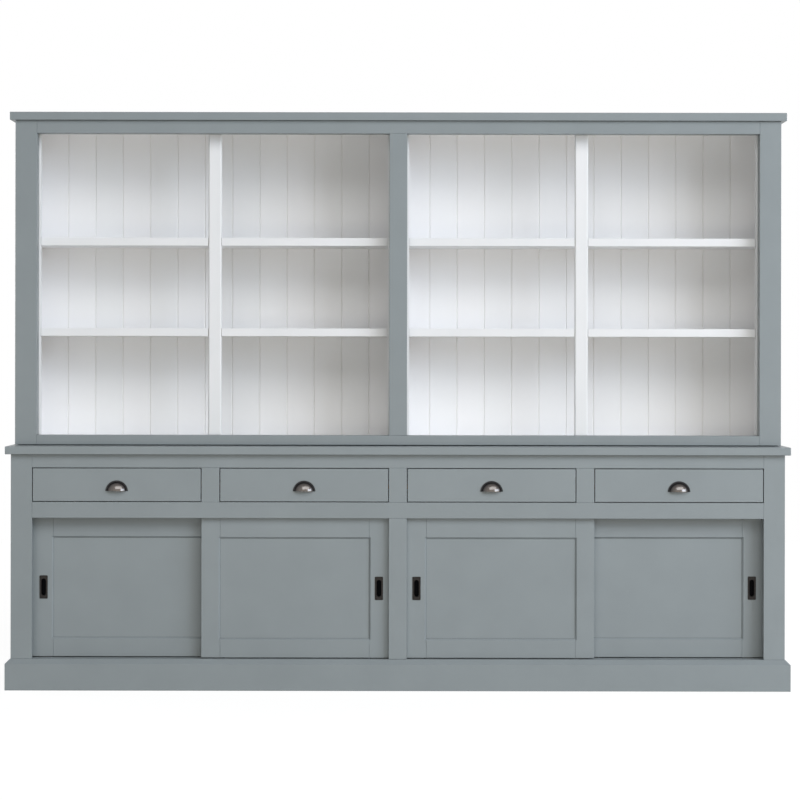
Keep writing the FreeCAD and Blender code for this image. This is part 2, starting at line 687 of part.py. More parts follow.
def dome(centre, rim, projection, rim_radius):
    """Solid cap whose outline is a tight arc at the rim and a wide arc over the crown."""
    flat = rim - rim_radius
    crown_radius = (flat ** 2 + projection ** 2 - rim_radius ** 2) / (2 * (projection - rim_radius))
    crown_centre = crown_radius - projection
    slope = sqrt(flat ** 2 + crown_centre ** 2)
    away = (flat / slope, -crown_centre / slope)
    joint = FreeCAD.Vector(flat + rim_radius * away[0], rim_radius * away[1], 0)
    start = FreeCAD.Vector(rim, 0, 0)
    rim_bisector = FreeCAD.Vector(1 + away[0], away[1], 0).normalize()
    rim_middle = FreeCAD.Vector(flat, 0, 0) + rim_bisector * rim_radius
    top = FreeCAD.Vector(0, -projection, 0)
    crown_bisector = FreeCAD.Vector(away[0], away[1] - 1, 0).normalize()
    crown_middle = FreeCAD.Vector(0, crown_centre, 0) + crown_bisector * crown_radius
    base = FreeCAD.Vector(0, 0, 0)
    profile = [Part.Arc(start, rim_middle, joint).toShape(), Part.Arc(joint, crown_middle, top).toShape(),
               Part.makeLine(top, base), Part.makeLine(base, start)]
    return half_turned(profile, centre)


def cup_pull(opening):
    """Half dome on a flange, open below for the fingers."""
    radius = (CUP_HEIGHT ** 2 + (CUP_WIDTH / 2) ** 2) / (2 * CUP_HEIGHT)
    chord = (Z_DRAWER + Z_TOP_RAIL) / 2 - CUP_CHORD_DROP
    x = (opening[0] + opening[1]) / 2
    centre = FreeCAD.Vector(x, Y_BASE, chord + CUP_HEIGHT - radius)
    rim = radius - CUP_FLANGE_WIDTH
    flange = rod(x, Y_BASE - CUP_FLANGE_THICKNESS, centre.z, radius, CUP_FLANGE_THICKNESS, (0, 1, 0))
    outer = dome(centre, rim, CUP_PROJECTION, CUP_RIM_RADIUS)
    inner = dome(centre, rim - CUP_WALL, CUP_PROJECTION - CUP_WALL, CUP_RIM_RADIUS - CUP_WALL)
    below = block((x - CUP_WIDTH, x + CUP_WIDTH), (Y_BASE - CUP_WIDTH, Y_BASE), (chord - CUP_WIDTH, chord))
    return [flange.fuse(outer).cut(inner).cut(below)]


def drawer_runners():
    """Hardwood strips on packers that fill out to the edges of the drawer openings."""
    walls = [-X_IN]
    for x in MUNTIN_CENTRES:
        walls += around(x, PARTITION_THICKNESS)
    walls.append(X_IN)
    runners = []
    depth = (Y_BASE_IN, Y_DRAWER_BACK)
    for index, opening in enumerate(drawer_openings()):
        ends = ((walls[2 * index], opening[0], 1), (walls[2 * index + 1], opening[1], -1))
        for wall, edge, inward in ends:
            packer = block(tuple(sorted((wall, edge))), depth, around(RUNNER_Z, PACKER_HEIGHT))
            strip_x = tuple(sorted((edge, edge + inward * RUNNER_REACH)))
            runners.append(packer.fuse(block(strip_x, depth, around(RUNNER_Z, RUNNER_HEIGHT))))
    return runners


def drawer_stops():
    """Blocks on the drawer deck that the box sides meet when a drawer is shut."""
    stops = []
    y = (Y_DRAWER_BACK + STOP_CLEARANCE, Y_DRAWER_BACK + STOP_CLEARANCE + STOP_LENGTH)
    z = (Z_DRAWER, Z_DRAWER + STOP_HEIGHT)
    reach = DRAWER_SIDE_GAP + DRAWER_SIDE_THICKNESS / 2
    for low, high in drawer_openings():
        for x in (low + reach, high - reach):
            stops.append(block(around(x, STOP_WIDTH), y, z))
    return stops


FIXED_PIECES = (
    base_sides, base_bottom_board, base_bearers, base_back_panel, base_centre_partition, drawer_deck,
    drawer_partitions, counter_top, base_stiles, base_rails, base_centre_stile, drawer_muntins, plinth,
    upper_sides, upper_side_linings, upper_bottom_panel, upper_top_panel, upper_centre_partition,
    upper_back_panels, upper_stiles, upper_centre_stile, upper_rails, cornice_board, bay_posts, shelf_pins,
    spacer_pads, door_tracks, door_jambs, drawer_runners, drawer_stops,
)

os.makedirs("parts", exist_ok=True)
for make_piece in FIXED_PIECES:
    save(make_piece.__name__, make_piece())
save("lower_shelves", shelves(LOWER_SHELF_TOP))
save("upper_shelves", shelves(UPPER_SHELF_TOP))

for index, drawer_opening in enumerate(drawer_openings()):
    save(f"drawer_{index + 1}_front", drawer_front(drawer_opening))
    save(f"drawer_{index + 1}_box", drawer_box(drawer_opening))
    save(f"drawer_{index + 1}_cup_pull", cup_pull(drawer_opening))

make_door(1, -X_OUTER_STOP, 1, Y_REAR_DOOR)
make_door(2, -X_INNER_STOP, -1, Y_FRONT_DOOR)
make_door(3, X_INNER_STOP, 1, Y_FRONT_DOOR)
make_door(4, X_OUTER_STOP, -1, Y_REAR_DOOR)
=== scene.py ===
# %% [markdown]
# # Dressing a painted display cabinet
# The cabinet is a long country piece in two parts: a bookcase with a white boarded back stands on a buffet
# with four drawers and four sliding doors. Its joinery is already modelled as solids.
# We could model it all again in Blender, but then the two models would drift apart. So this lesson keeps the
# joinery where it is, changes only the back to loose boards, and adds what the eye needs: paint, timber,
# metal, small fittings and light.

# %% Load the joinery
import json
from math import cos, pi, radians, sin, tan

import bmesh
import bpy
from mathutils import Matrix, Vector


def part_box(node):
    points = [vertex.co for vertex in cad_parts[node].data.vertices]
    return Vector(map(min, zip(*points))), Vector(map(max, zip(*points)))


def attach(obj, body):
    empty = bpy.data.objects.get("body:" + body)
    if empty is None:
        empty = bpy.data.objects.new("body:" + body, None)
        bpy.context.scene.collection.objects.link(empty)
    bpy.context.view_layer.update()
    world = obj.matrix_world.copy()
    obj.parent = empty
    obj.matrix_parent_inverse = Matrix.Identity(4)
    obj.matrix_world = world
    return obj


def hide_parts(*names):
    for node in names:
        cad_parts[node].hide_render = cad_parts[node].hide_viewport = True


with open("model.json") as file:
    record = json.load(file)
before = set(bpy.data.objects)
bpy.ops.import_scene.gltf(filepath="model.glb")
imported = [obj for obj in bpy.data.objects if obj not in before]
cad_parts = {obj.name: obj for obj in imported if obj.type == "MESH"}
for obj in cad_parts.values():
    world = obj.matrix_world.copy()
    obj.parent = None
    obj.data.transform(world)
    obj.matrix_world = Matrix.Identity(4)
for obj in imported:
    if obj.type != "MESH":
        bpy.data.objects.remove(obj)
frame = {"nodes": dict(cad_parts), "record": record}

MM = 0.001
scene = bpy.context.scene
nodes = frame["nodes"]
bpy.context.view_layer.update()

# %% [markdown]
# ## The camera
# The picture was taken level and straight on, from far away with a long lens, so all uprights stay parallel.
# A tilted camera could also frame the cabinet, but then its sides would lean. We keep the camera level at
# the height where the shelves turn from showing their tops to showing their undersides, and move the picture
# with the lens shift, as an architectural photographer does. The only lean is a tenth of a degree of roll,
# which the real picture has too.

# %% Place the camera
# Rows, columns and the focal length are counted in pixels of the square picture
IMAGE_SIZE = 800
HORIZON_ROW = 351.0
MIDDLE_COLUMN = 398.1
FOCAL_PIXELS = 2913.0
EYE_HEIGHT = 1168 * MM
EYE_DISTANCE = 10240 * MM
LEVEL_VIEW = radians(90)
ROLL = radians(-0.096)

lens = bpy.data.cameras.new("photo_camera")
lens.lens = lens.sensor_width * FOCAL_PIXELS / IMAGE_SIZE
lens.shift_x = (IMAGE_SIZE / 2 - MIDDLE_COLUMN) / IMAGE_SIZE
lens.shift_y = (HORIZON_ROW - IMAGE_SIZE / 2) / IMAGE_SIZE
camera = bpy.data.objects.new("photo_camera", lens)
camera.location = (0, -EYE_DISTANCE, EYE_HEIGHT)
camera.rotation_euler = (LEVEL_VIEW, ROLL, 0)
scene.collection.objects.link(camera)
scene.camera = camera
print("lens in mm:", round(lens.lens, 1), "shift:", round(lens.shift_x, 4), round(lens.shift_y, 4))

# %% [markdown]
# ## Three small tools
# Colours are written as the hex values that a paint chart or a picture gives, but shaders work in linear
# light, so one function converts them. Another adds a node, sets its properties and fills its inputs, with
# a plain value or with a link, so that each material below reads as a list of what it is made of. The third
# takes out the nodes that Blender puts in a new material or world, so that nothing is there but what we add.

# %% Colour and node tools
def linear(hex_colour):
    """Linear RGBA of an sRGB hex colour."""
    channels = [int(hex_colour[i:i + 2], 16) / 255 for i in (1, 3, 5)]
    return [c / 12.92 if c <= 0.04045 else ((c + 0.055) / 1.055) ** 2.4 for c in channels] + [1.0]


def add(tree, kind, inputs=None, **settings):
    """Add a node with its settings; an input is a value, or another node's socket to link."""
    node = tree.nodes.new(kind)
    for name, value in settings.items():
        setattr(node, name, value)
    for name, value in (inputs or {}).items():
        if isinstance(value, bpy.types.NodeSocket):
            tree.links.new(value, node.inputs[name])
        else:
            node.inputs[name].default_value = value
    return node


def emptied_tree(owner):
    """Node tree of a material or a world, without the nodes that it starts with."""
    owner.use_nodes = True
    owner.node_tree.nodes.clear()
    return owner.node_tree


print("mid grey is", [round(c, 3) for c in linear("#808080")])

# %% [markdown]
# ## A white studio
# The picture has a pure white surround. Very bright lamps would also give that, but they would bleach the
# cabinet. So the world has two strengths: what the camera sees directly or in a reflection is plain white,
# and what falls on the cabinet as soft fill light is much weaker.

# %% White surround
WHITE = "#FFFFFF"
SEEN_LEVEL = 1.0
FILL_LEVEL = 0.02


def seen_directly(tree):
    """Socket that is 1 for what the camera sees, directly, mirrored or through glass."""
    path = add(tree, "ShaderNodeLightPath").outputs
    mirrored = add(tree, "ShaderNodeMath", {0: path["Is Glossy Ray"], 1: path["Is Transmission Ray"]},
                   operation="MAXIMUM")
    return add(tree, "ShaderNodeMath", {0: path["Is Camera Ray"], 1: mirrored.outputs[0]},
               operation="MAXIMUM").outputs[0]


studio = bpy.data.worlds.new("white_studio")
tree = emptied_tree(studio)
fill = add(tree, "ShaderNodeBackground", {"Color": linear(WHITE), "Strength": FILL_LEVEL})
shown = add(tree, "ShaderNodeBackground", {"Color": linear(WHITE), "Strength": SEEN_LEVEL})
surround = add(tree, "ShaderNodeMixShader", {0: seen_directly(tree), 1: fill.outputs[0], 2: shown.outputs[0]})
add(tree, "ShaderNodeOutputWorld", {"Surface": surround.outputs[0]})
scene.world = studio
scene.view_settings.view_transform = "Standard"
print("fill light level:", FILL_LEVEL)

# %% [markdown]
# ## The floor
# The cabinet stands on a pale floor that runs into the white surround. A floor of plain white paint would show
# a grey edge against it, and a glowing one would lose the shadow that tells the eye where the plinth stands.
# So the floor is a mix of both: mostly glow where the camera looks at it, and plain matt for all other light.

# %% Floor
FLOOR_COLOUR = "#C8C8C6"
FLOOR_WHITENING = 0.75
FLOOR_GLOW = 1.23
# Half the side of the square floor in metres
FLOOR_HALF = 7.5

floor_paint = bpy.data.materials.new("white_studio_floor")
tree = emptied_tree(floor_paint)
matt = add(tree, "ShaderNodeBsdfDiffuse", {"Color": linear(FLOOR_COLOUR)})
glow = add(tree, "ShaderNodeEmission", {"Color": linear(WHITE), "Strength": FLOOR_GLOW})
whitened = add(tree, "ShaderNodeMath", {0: seen_directly(tree), 1: FLOOR_WHITENING}, operation="MULTIPLY")
floor_mix = add(tree, "ShaderNodeMixShader", {0: whitened.outputs[0], 1: matt.outputs[0], 2: glow.outputs[0]})
add(tree, "ShaderNodeOutputMaterial", {"Surface": floor_mix.outputs[0]})

floor_mesh = bpy.data.meshes.new("studio_floor")
corners = [(x * FLOOR_HALF, y * FLOOR_HALF, 0) for x, y in ((-1, -1), (1, -1), (1, 1), (-1, 1))]
floor_mesh.from_pydata(corners, [], [(0, 1, 2, 3)])
floor_mesh.materials.append(floor_paint)
floor = bpy.data.objects.new("studio_floor", floor_mesh)
scene.collection.objects.link(floor)
print("floor side in metres:", 2 * FLOOR_HALF)

# %% [markdown]
# ## The softboxes
# The shadows in the bookcase tell where the light stood: each stile throws a wide soft shadow to the left,
# and each shelf a short one down. So the main softbox stands far to the right and only a little above eye
# level, and a small one below it lights up under the shelves. A large one hangs high in front. Inside the
# bays even the deepest shadow is pale and warm, so a last one, a little warm, stands low in front. Two more
# stand behind: they light the back and the ends, which the picture doesn't show, and can't reach the front.
# A point lamp would give hard shadow lines. An area lamp gives the soft ones, and we set it by angles.

# %% Softboxes
# Aim height and distance in metres; bearing, height and spread in degrees; level; colour
SOFTBOXES = {
    "key_softbox": (1.2, 11.5, 51, 13, (37, 16), 0.278, "#E3EFFF"),
    "low_key_softbox": (1.2, 6.0, 48, -3, (40, 15), 0.057, "#FFF3E4"),
    "high_softbox": (1.2, 16.0, 15, 36, (60, 26), 0.412, "#FBFDFF"),
    "front_softbox": (0.6, 5.0, -4, 0, (62, 11), 0.148, "#FFFAEC"),
    "back_left_softbox": (1.2, 14.0, -125, 6, (40, 12), 0.35, WHITE),
    "back_right_softbox": (1.2, 14.0, 125, 6, (40, 12), 0.35, WHITE),
}


def softbox(name, aim, distance, bearing, height, spread, level, hex_colour):
    """Area lamp set by its angles, facing a point at the aim height on the cabinet.

    Level is the brightness that it gives a white face there, front or back.
    """
    bearing, height = radians(bearing), radians(height)
    towards = Vector((sin(bearing) * cos(height), -cos(bearing) * cos(height), sin(height)))
    lamp = bpy.data.lights.new(name, "AREA")
    lamp.shape = "RECTANGLE"
    lamp.size, lamp.size_y = [2 * distance * tan(radians(angle / 2)) for angle in spread]
    lamp.energy = level * (pi * distance) ** 2 / abs(towards.y)
    lamp.color = linear(hex_colour)[:3]
    box = bpy.data.objects.new(name, lamp)
    box.location = Vector((0, 0, aim)) + towards * distance
    box.rotation_euler = towards.to_track_quat("Z", "Y").to_euler()
    box.visible_camera = False
    scene.collection.objects.link(box)
    print(name, "watts:", round(lamp.energy))


for name, setting in SOFTBOXES.items():
    softbox(name, *setting)

# %% [markdown]
# ## Sprayed satin paint
# The outside is a blue-grey satin paint and the inside a cool white, both sprayed in a workshop on planed
# timber. Sprayed paint has no brush marks: it dries with a fine orange peel, which breaks up the gloss, and
# with faint clouds where the coats overlap. A flat colour would look like plastic, and an image would not
# follow the boards, so noise in real millimetres makes both. Painted shade darkens every joint and
# inside corner, which is what makes the joinery readable. Painting those lines by hand would take days, so a
# node that measures how enclosed a point is finds them.

# %% Paint
CLOUD_SIZE = 140 * MM
CLOUD_DETAIL = 3.0
# Real orange peel is 1 to 2 mm across: it is drawn coarser, so that it shows
PEEL_SIZE = 4 * MM
PEEL_DETAIL = 2.0
PEEL_HEIGHT = 0.06 * MM
# Noise hardly leaves this range
NOISE_LOW, NOISE_HIGH = 0.3, 0.7
PAINT_GLOSSY, PAINT_DULL = 0.38, 0.50
COATING_IOR = 1.5
# Painted shade: within this reach of a joint or inside corner the paint darkens towards its third colour
PAINTED_SHADE_REACH = 4 * MM
PAINTED_SHADE_CLOSED, PAINTED_SHADE_OPEN = 0.35, 0.85
PAINTED_SHADE_SAMPLES = 8
# Sockets of a Mix node that mixes colours
MIX_A, MIX_B, MIX_COLOUR = 6, 7, 2


def new_material(name):
    """An empty material, its node tree and its Object coordinates, which are metres on the cabinet."""
    material = bpy.data.materials.new(name)
    tree = emptied_tree(material)
    return material, tree, add(tree, "ShaderNodeTexCoord").outputs["Object"]


def sprayed_paint(name, shade_hex, light_hex, painted_shade_hex, by_board=False):
    """Paint that wanders between two near shades, in clouds or from board to board, with painted shade in
    joints and inside corners.
    """
    material, tree, place = new_material(name)
    if by_board:
        share = add(tree, "ShaderNodeAttribute", attribute_name="tone").outputs["Fac"]
    else:
        clouds = add(tree, "ShaderNodeTexNoise",
                     {"Vector": place, "Scale": 1 / CLOUD_SIZE, "Detail": CLOUD_DETAIL})
        share = add(tree, "ShaderNodeMapRange", {"Value": clouds.outputs["Fac"], "From Min": NOISE_LOW,
                                                 "From Max": NOISE_HIGH}).outputs[0]
    paint_colour = add(tree, "ShaderNodeMix", {0: share, MIX_A: linear(shade_hex), MIX_B: linear(light_hex)},
                data_type="RGBA")
    # Painted shade: the colour darkens where the surface is enclosed, in joints and inside corners
    openness = add(tree, "ShaderNodeAmbientOcclusion", {"Distance": PAINTED_SHADE_REACH}, samples=PAINTED_SHADE_SAMPLES)
    unshaded_share = add(tree, "ShaderNodeMapRange", {"Value": openness.outputs["AO"], "From Min": PAINTED_SHADE_CLOSED,
                                               "From Max": PAINTED_SHADE_OPEN})
    colour = add(tree, "ShaderNodeMix", {0: unshaded_share.outputs[0], MIX_A: linear(painted_shade_hex),
                                         MIX_B: paint_colour.outputs[MIX_COLOUR]}, data_type="RGBA")
    peel = add(tree, "ShaderNodeTexNoise", {"Vector": place, "Scale": 1 / PEEL_SIZE, "Detail": PEEL_DETAIL})
    relief = add(tree, "ShaderNodeBump", {"Height": peel.outputs["Fac"], "Distance": PEEL_HEIGHT})
    gloss = add(tree, "ShaderNodeMapRange",
                {"Value": peel.outputs["Fac"], "From Min": NOISE_LOW, "From Max": NOISE_HIGH,
                 "To Min": PAINT_GLOSSY, "To Max": PAINT_DULL})
    surface = add(tree, "ShaderNodeBsdfPrincipled",
                  {"Base Color": colour.outputs[MIX_COLOUR], "Roughness": gloss.outputs[0],
                   "IOR": COATING_IOR, "Normal": relief.outputs[0]})
    add(tree, "ShaderNodeOutputMaterial", {"Surface": surface.outputs[0]})
    return material


# Satin spray gives even colour with soft, broken reflections
# The third colour of each paint is the painted shade in its joints and inside corners
grey_paint = sprayed_paint("blue_grey_satin_paint", "#888F91", "#8C9395", "#4C5254")
white_paint = sprayed_paint("white_satin_paint", "#EEEEEE", "#F2F1F1", "#D2D0CC")
board_paint = sprayed_paint("white_satin_board_paint", "#EEEEEE", "#F2F1F1", "#F0EEEB", by_board=True)
print("paints:", grey_paint.name, white_paint.name, board_paint.name)

# %% [markdown]
# ## The run of the grain
# Grain follows the length of each board, but the boards of a drawer box are one piece with one material. We
# could cut the piece into its boards and turn the grain on each. Instead the grain finds its own direction.
# Boards that face left or right run front to back, and so do the top edges of the drawer sides, which a
# measure that repeats from drawer to drawer finds. All others run along the cabinet.

# %% Run of the grain
FACING_SIDE = 0.5
DRAWER_SIDE = 15 * MM

box_low, box_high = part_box("drawer_3_box")
box_middle, box_half = (box_low.x + box_high.x) / 2, (box_high.x - box_low.x) / 2
half_pitch = (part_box("drawer_4_box")[0].x - box_low.x) / 2


def runs_to_the_back(tree, across):
    """Socket that is 1 on boards that run front to back; across is the X coordinate."""
    normal = add(tree, "ShaderNodeNewGeometry").outputs["Normal"]
    facing = add(tree, "ShaderNodeSeparateXYZ", {0: normal})
    sideways = add(tree, "ShaderNodeMath", {0: facing.outputs["X"]}, operation="ABSOLUTE")
    is_side = add(tree, "ShaderNodeMath", {0: sideways.outputs[0], 1: FACING_SIDE}, operation="GREATER_THAN")
    right_half = add(tree, "ShaderNodeMath", {0: across}, operation="ABSOLUTE")
    one_drawer = add(tree, "ShaderNodeMath", {0: right_half.outputs[0], 1: box_middle + half_pitch,
                                              2: box_middle - half_pitch}, operation="WRAP")
    off_middle = add(tree, "ShaderNodeMath", {0: one_drawer.outputs[0], 1: box_middle}, operation="SUBTRACT")
    distance = add(tree, "ShaderNodeMath", {0: off_middle.outputs[0]}, operation="ABSOLUTE")
    is_edge = add(tree, "ShaderNodeMath", {0: distance.outputs[0], 1: box_half - DRAWER_SIDE},
                  operation="GREATER_THAN")
    return add(tree, "ShaderNodeMath", {0: is_side.outputs[0], 1: is_edge.outputs[0]},
               operation="MAXIMUM").outputs[0]


print("drawer boxes in mm, width:", round(2 * box_half / MM), "pitch:", round(2 * half_pitch / MM))

# %% [markdown]
# ## Bare timber
# The drawer boxes, bearers and stops are pine under a clear matt lacquer, and the drawer runners are waxed
# beech, which wears well. Straight bands would be the simplest rings, but they look like corrugated card. So
# the rings are the contour lines of a noise that is stretched along the board, and they close into the
# arches of sawn wood. A much finer noise adds the fibres.

# %% Timber
RING_COUNT = 11
HALF_RING = 0.5
FIGURE_DETAIL, FIBRE_DETAIL = 1.0, 3.0
FIBRE_FAINT, FIBRE_STRONG = 0.3, 1.0
FIBRE_RELIEF = 0.1 * MM
# Sockets of a Mix node that mixes vectors
MIX_VECTOR_A, MIX_VECTOR_B, MIX_VECTOR = 4, 5, 1


def timber(name, pale_hex, dark_hex, figure_width, grain_length, fibre_width, roughness):
    """Lacquered or waxed wood with arched growth rings and fibres along the boards."""
    material, tree, place = new_material(name)
    axes = add(tree, "ShaderNodeSeparateXYZ", {0: place}).outputs
    turned = add(tree, "ShaderNodeCombineXYZ", {"X": axes["Y"], "Y": axes["X"], "Z": axes["Z"]})
    along = add(tree, "ShaderNodeMix", {0: runs_to_the_back(tree, axes["X"]), MIX_VECTOR_A: place,
                                        MIX_VECTOR_B: turned.outputs[0]}, data_type="VECTOR")
    board = along.outputs[MIX_VECTOR]
    stretch = add(tree, "ShaderNodeMapping",
                  {"Vector": board, "Scale": (1 / grain_length, 1 / figure_width, 1 / figure_width)})
    figure = add(tree, "ShaderNodeTexNoise",
                 {"Vector": stretch.outputs[0], "Scale": 1.0, "Detail": FIGURE_DETAIL})
    contours = add(tree, "ShaderNodeMath", {0: figure.outputs["Fac"], 1: RING_COUNT}, operation="MULTIPLY")
    folded = add(tree, "ShaderNodeMath", {0: contours.outputs[0], 1: HALF_RING}, operation="PINGPONG")
    rings = add(tree, "ShaderNodeMapRange", {"Value": folded.outputs[0], "From Max": HALF_RING},
                interpolation_type="SMOOTHSTEP")
    strands = add(tree, "ShaderNodeMapping",
                  {"Vector": board, "Scale": (1 / grain_length, 1 / fibre_width, 1 / fibre_width)})
    fibres = add(tree, "ShaderNodeTexNoise",
                 {"Vector": strands.outputs[0], "Scale": 1.0, "Detail": FIBRE_DETAIL})
    streaks = add(tree, "ShaderNodeMapRange",
                  {"Value": fibres.outputs["Fac"], "From Min": NOISE_LOW, "From Max": NOISE_HIGH,
                   "To Min": FIBRE_FAINT, "To Max": FIBRE_STRONG})
    grain = add(tree, "ShaderNodeMath", {0: rings.outputs[0], 1: streaks.outputs[0]}, operation="MULTIPLY")
    colour = add(tree, "ShaderNodeMix",
                 {0: grain.outputs[0], MIX_A: linear(pale_hex), MIX_B: linear(dark_hex)}, data_type="RGBA")
    relief = add(tree, "ShaderNodeBump", {"Height": fibres.outputs["Fac"], "Distance": FIBRE_RELIEF})
    surface = add(tree, "ShaderNodeBsdfPrincipled",
                  {"Base Color": colour.outputs[MIX_COLOUR], "Roughness": roughness, "IOR": COATING_IOR,
                   "Normal": relief.outputs[0]})
    add(tree, "ShaderNodeOutputMaterial", {"Surface": surface.outputs[0]})
    return material


# Pine shows wide amber rings on pale wood; beech is pinker, closer and finer. Real fibres are finer still
# than these, which are as coarse as they need to be to show
pine = timber("lacquered_pine", "#DFC294", "#BC9159", figure_width=110 * MM, grain_length=900 * MM,
              fibre_width=1.5 * MM, roughness=0.55)
beech = timber("waxed_beech", "#C79A72", "#A87650", figure_width=45 * MM, grain_length=500 * MM,
               fibre_width=0.8 * MM, roughness=0.45)
print("timbers:", pine.name, beech.name)

# %% [markdown]
# ## Antique bronze
# The pulls are antique bronze: brass that is chemically darkened, then rubbed, so that what stands proud shows
# warm brown metal and the rest stays nearly black. We could paint two colours by hand, but rubbing has a
# rule: it reaches what stands furthest forward. So the rubbed share follows the Y coordinate, with noise for
# the hand that rubs. The cups also have a clear lacquer, which gives each its one bright spot.

# %% Bronze
BLOTCH_SIZE = 5 * MM
BLOTCH_DETAIL = 3.0
BLOTCH_LOW, BLOTCH_HIGH = 0.25, 0.75
RUBBED_LIGHTLY, RUBBED_FULLY = 0.7, 1.0
BRONZE_GLOSSY, BRONZE_DULL = 0.28, 0.42
BRONZE_EDGE = "#4A423C"
LACQUER_IOR = 2.0
LACQUER_ROUGHNESS = 0.12
CUP_RIM = 3 * MM
PLATE_RIM = 2.5 * MM


def bronze(name, patina_hex, rubbed_hex, y_recess, y_crown, lacquered):
    """Darkened brass, rubbed from none at y_recess to most at y_crown, and lacquered there if so said."""
    material, tree, place = new_material(name)
    depth = add(tree, "ShaderNodeSeparateXYZ", {0: place}).outputs["Y"]
    proud = add(tree, "ShaderNodeMapRange", {"Value": depth, "From Min": y_recess, "From Max": y_crown},
                interpolation_type="SMOOTHSTEP")
    blotches = add(tree, "ShaderNodeTexNoise",
                   {"Vector": place, "Scale": 1 / BLOTCH_SIZE, "Detail": BLOTCH_DETAIL})
    hand = add(tree, "ShaderNodeMapRange",
               {"Value": blotches.outputs["Fac"], "From Min": BLOTCH_LOW, "From Max": BLOTCH_HIGH,
                "To Min": RUBBED_LIGHTLY, "To Max": RUBBED_FULLY})
    rubbed = add(tree, "ShaderNodeMath", {0: proud.outputs[0], 1: hand.outputs[0]}, operation="MULTIPLY")
    colour = add(tree, "ShaderNodeMix",
                 {0: rubbed.outputs[0], MIX_A: linear(patina_hex), MIX_B: linear(rubbed_hex)},
                 data_type="RGBA")
    rough = add(tree, "ShaderNodeMapRange", {"Value": blotches.outputs["Fac"], "To Min": BRONZE_GLOSSY,
                                             "To Max": BRONZE_DULL})
    surface = add(tree, "ShaderNodeBsdfPrincipled",
                  {"Base Color": colour.outputs[MIX_COLOUR], "Metallic": 1.0, "Roughness": rough.outputs[0],
                   "Specular Tint": linear(BRONZE_EDGE),
                   "Coat Weight": rubbed.outputs[0] if lacquered else 0.0,
                   "Coat IOR": LACQUER_IOR, "Coat Roughness": LACQUER_ROUGHNESS})
    add(tree, "ShaderNodeOutputMaterial", {"Surface": surface.outputs[0]})
    return material


# The cups are rubbed to brown metal on the crown
cup_back, cup_front = [corner.y for corner in reversed(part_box("drawer_1_cup_pull"))]
cup_bronze = bronze("rubbed_bronze_cup", "#2A2A2C", "#43382F", cup_back - CUP_RIM, cup_front, True)
# The plates are rubbed only on the face, and black inside the finger slot
plate_bronzes = {}
for row, number in (("rear", 1), ("front", 2)):
    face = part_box(f"door_{number}_flush_pull")[0].y
    plate_bronzes[row] = bronze(f"{row}_plate_bronze", "#070708", "#2F2D2C", face + PLATE_RIM, face, False)
print("bronzes:", cup_bronze.name, [plate.name for plate in plate_bronzes.values()])

# %% [markdown]
# ## Nylon, nickel and felt
# Hidden fittings have their own materials: the doors glide on moulded nylon, the shelves rest on nickel-plated
# steel pins, and the bookcase stands on felt pads. A plain colour would nearly do, but a close view shows
# that each is a little uneven. One function with specks of a real size serves all three.

# %% Small materials
SPECK_DETAIL = 4.0


def speckled(name, first_hex, second_hex, size, relief, roughness, metallic=0.0):
    """Plain moulded, plated or fibrous stuff with fine specks of two shades and a matching relief."""
    material, tree, place = new_material(name)
    specks = add(tree, "ShaderNodeTexNoise", {"Vector": place, "Scale": 1 / size, "Detail": SPECK_DETAIL})
    colour = add(tree, "ShaderNodeMix",
                 {0: specks.outputs["Fac"], MIX_A: linear(first_hex), MIX_B: linear(second_hex)},
                 data_type="RGBA")
    bumps = add(tree, "ShaderNodeBump", {"Height": specks.outputs["Fac"], "Distance": relief})
    surface = add(tree, "ShaderNodeBsdfPrincipled",
                  {"Base Color": colour.outputs[MIX_COLOUR], "Roughness": roughness, "Metallic": metallic,
                   "Normal": bumps.outputs[0]})
    add(tree, "ShaderNodeOutputMaterial", {"Surface": surface.outputs[0]})
    return material


# Moulded nylon is black and dull
nylon = speckled("moulded_nylon", "#26282A", "#1D1F21", size=6 * MM, relief=0.02 * MM, roughness=0.45)
# Nickel plate is bright and slightly grainy
nickel = speckled("nickel_plated_steel", "#B9B6AE", "#C9C6BF", size=2 * MM, relief=0.01 * MM, roughness=0.28,
                  metallic=1.0)
# Felt is a matt black fuzz
felt = speckled("pressed_wool_felt", "#17171A", "#2C2C30", size=1.5 * MM, relief=0.6 * MM, roughness=0.95)
print("small materials:", nylon.name, nickel.name, felt.name)

# %% [markdown]
# ## Finish every board
# Each board, fitting and pull has one finish. We could choose it by hand for all sixty, but the record of the
# joinery already says which finish each piece has. We follow it, so that a piece can't be forgotten, and only
# choose between the bronzes by the door's row, because the rear doors stand further back.

# %% Give each piece its finish
FINISHES = {"grey_paint": grey_paint, "white_paint": white_paint, "bare_pine": pine, "beech": beech,
            "bronze": cup_bronze, "glide_nylon": nylon, "pin_steel": nickel, "felt": felt}
DOOR_ROWS = {1: "rear", 2: "front", 3: "front", 4: "rear"}


def finish(piece, material):
    """Give a piece of the joinery one finish all over."""
    piece.data.materials.clear()
    piece.data.materials.append(material)


for subpart in frame["record"]["subparts"]:
    finish(nodes[subpart["node"]], FINISHES[subpart["material_slot"]])
for number, row in DOOR_ROWS.items():
    finish(nodes[f"door_{number}_flush_pull"], plate_bronzes[row])

# %% [markdown]
# ## One tree for all that repeats
# The bookcase is closed at the back with upright boards, each nailed at its ends, and every pull plate is held
# by four brads. All three are the same idea: one small piece, repeated in columns and rows. Copying it by
# hand would be slow to change. A node tree does it from a few named sizes, and gives every copy its own
# random tone.

# %% The lattice tree
INPUTS = {"piece": "Geometry", "columns": "Int", "column_step": "Vector", "rows": "Int", "row_step": "Vector",
          "first": "Vector", "seed": "Int", "material": "Material"}
# Socket of a Random Value node that gives plain numbers
RANDOM_NUMBER = 1

